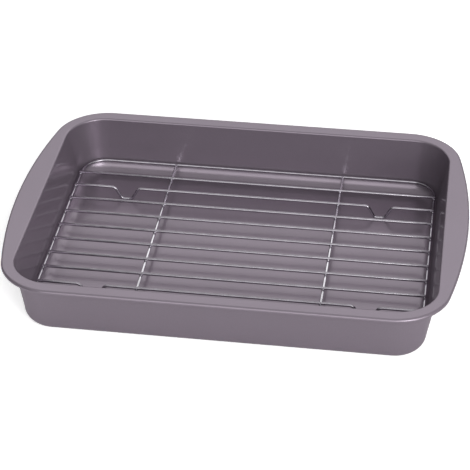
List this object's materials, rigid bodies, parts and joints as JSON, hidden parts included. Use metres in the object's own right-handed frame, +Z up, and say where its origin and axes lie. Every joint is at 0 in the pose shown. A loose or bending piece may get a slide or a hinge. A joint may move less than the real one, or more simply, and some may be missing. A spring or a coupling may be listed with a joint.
{
  "type": "roasting pan with rack",
  "caption": "Rectangular coated steel roasting pan with flared walls, rounded corners and arched end handles, holding a footed wire rack that lifts out.",
  "frame": {"origin": "centre of the footprint, on the plane the pan stands on", "axes": "+X along the pan's length to the right handle, +Y to the back long side, +Z up"},
  "size_m": [0.38, 0.28, 0.0515],
  "materials": {
    "coated_steel": "semi-gloss mauve-grey metallic non-stick coating",
    "chrome_wire": "bright chrome plate on steel wire"
  },
  "bodies": {
    "pan": {"pan": "coated_steel"},
    "rack": {"rack_frame": "chrome_wire", "rack_cross_left": "chrome_wire", "rack_cross_right": "chrome_wire", "rack_wire_01": "chrome_wire", "rack_wire_02": "chrome_wire", "rack_wire_03": "chrome_wire", "rack_wire_04": "chrome_wire", "rack_wire_05": "chrome_wire", "rack_wire_06": "chrome_wire", "rack_wire_07": "chrome_wire", "rack_wire_08": "chrome_wire", "rack_wire_09": "chrome_wire", "rack_wire_10": "chrome_wire"}
  },
  "joints": [
    {"name": "rack_lift", "type": "slide", "parent": "pan", "child": "rack", "axis": [0, 0, 1], "range_m": [0, 0.07]}
  ]
}
